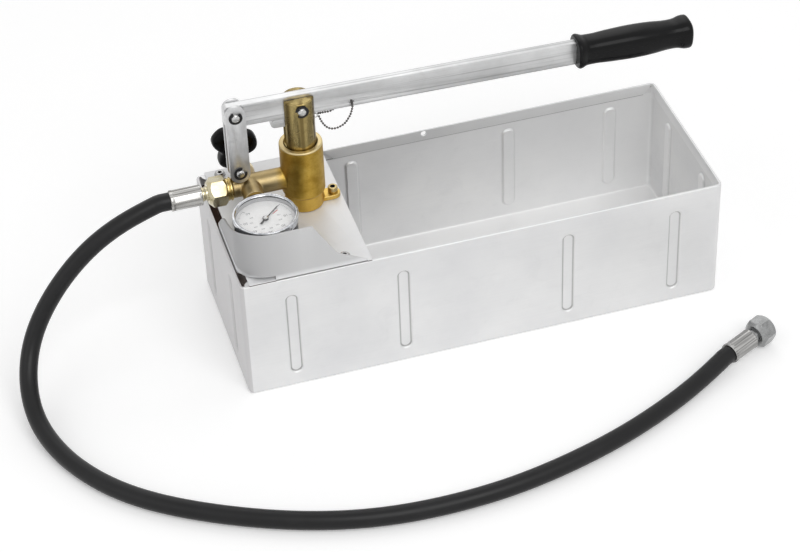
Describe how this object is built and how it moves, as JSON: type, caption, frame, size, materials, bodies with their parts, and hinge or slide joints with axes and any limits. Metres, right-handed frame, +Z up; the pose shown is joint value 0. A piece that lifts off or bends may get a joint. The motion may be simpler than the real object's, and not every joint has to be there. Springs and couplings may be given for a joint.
{
  "type": "hydrostatic test pump",
  "caption": "Hand-lever hydrostatic test pump on an open steel water tank, with pressure gauge, release valve and test hose.",
  "frame": {"origin": "on the ground under the middle of the tank", "axes": "+X along the tank towards the lever's grip, +Y away from the gauge towards the valve knob, +Z up"},
  "size_m": [0.7452, 0.4167, 0.2768],
  "materials": {
    "stainless_sheet": "bright cold-rolled stainless sheet",
    "cast_brass": "sand-cast, tarnished",
    "turned_brass": "turned, satin",
    "nut_brass": "machined hexagon",
    "lever_bar": "drawn bar, zinc-plated look",
    "link_plate": "plated plate",
    "bright_steel": "plated steel",
    "chrome": "polished",
    "black_clip": "black oxide",
    "black_plastic": "moulded",
    "black_hose": "smooth covered hose",
    "dial_white": "white enamel",
    "needle_black": "black enamel",
    "clear_lens": "clear",
    "seal_rubber": "moulded",
    "grey_plastic": "moulded"
  },
  "bodies": {
    "base": {"tank": "stainless_sheet", "cover_plate": "stainless_sheet", "plate_screw_front_left": "bright_steel", "plate_screw_front_right": "bright_steel", "plate_screw_rear_left": "bright_steel", "plate_screw_rear_right": "bright_steel", "body_screw_left": "bright_steel", "body_screw_right": "bright_steel", "pump_body": "cast_brass", "piston_seal": "seal_rubber", "link_pin_foot": "bright_steel", "clip_link_foot_front": "black_clip", "clip_link_foot_rear": "black_clip", "gauge_case": "chrome", "gauge_bezel": "chrome", "gauge_dial": "dial_white", "gauge_lens": "clear_lens", "gauge_stem": "turned_brass", "valve_bonnet": "turned_brass", "outlet_nipple": "turned_brass", "hose_tail": "turned_brass", "hose_ferrule": "bright_steel", "hose": "black_hose", "hose_ferrule_far": "bright_steel", "hose_tail_far": "bright_steel", "suction_fitting": "turned_brass", "suction_seat": "turned_brass", "suction_tube": "grey_plastic", "strainer": "grey_plastic"},
    "piston": {"piston": "turned_brass", "piston_pin": "bright_steel", "clip_piston_front": "black_clip", "clip_piston_rear": "black_clip"},
    "lever": {"lever": "lever_bar", "grip": "black_plastic", "lock_chain": "bright_steel"},
    "links": {"link_front": "link_plate", "link_rear": "link_plate", "link_pin_top": "bright_steel", "clip_link_top_front": "black_clip", "clip_link_top_rear": "black_clip"},
    "lock": {"lock_bar": "lever_bar", "lock_ring": "bright_steel"},
    "needle": {"gauge_needle": "needle_black"},
    "knob": {"valve_spindle": "bright_steel", "valve_knob": "black_plastic"},
    "near_nut": {"union_nut": "nut_brass"},
    "far_nut": {"swivel_nut": "bright_steel"},
    "ball": {"suction_ball": "bright_steel"}
  },
  "joints": [
    {"name": "piston_stroke", "type": "slide", "parent": "base", "child": "piston", "axis": [0, 0, 1], "range_m": [0, 0.042]},
    {"name": "lever_tilt", "type": "hinge", "parent": "piston", "child": "lever", "pos_m": [-0.1555, 0.015, 0.2613], "axis": [0, -1, 0], "range_deg": [0, 41]},
    {"name": "link_swing", "type": "hinge", "parent": "base", "child": "links", "pos_m": [-0.2195, 0.015, 0.197], "axis": [0, 1, 0], "range_deg": [0, 12]},
    {"name": "lock_pull", "type": "slide", "parent": "lever", "child": "lock", "axis": [0.9998, 0, -0.0192], "range_m": [0, 0.05], "deforming": ["lock_chain"]},
    {"name": "needle_swing", "type": "hinge", "parent": "base", "child": "needle", "pos_m": [-0.2105, -0.053, 0.1815], "axis": [0, 0, -1], "range_deg": [0, 270], "stiffness_Nm_per_rad": 0.00002},
    {"name": "knob_turn", "type": "hinge", "parent": "base", "child": "knob", "pos_m": [-0.2105, 0.083, 0.175], "axis": [0, 1, 0], "range_deg": [0, 360]},
    {"name": "near_nut_turn", "type": "hinge", "parent": "base", "child": "near_nut", "pos_m": [-0.2438, 0.015, 0.175], "axis": [1, 0, 0], "continuous": true},
    {"name": "far_nut_turn", "type": "hinge", "parent": "base", "child": "far_nut", "pos_m": [0.259, -0.1855, 0.015], "axis": [0.891, 0.454, 0], "continuous": true},
    {"name": "ball_lift", "type": "slide", "parent": "base", "child": "ball", "axis": [0, 0, 1], "range_m": [0, 0.0045]}
  ],
  "couplings": [
    {"joint": "lever_tilt", "follows": "piston_stroke", "rad_per_m": 16.5},
    {"joint": "link_swing", "follows": "piston_stroke", "rad_per_m": 3.9}
  ]
}
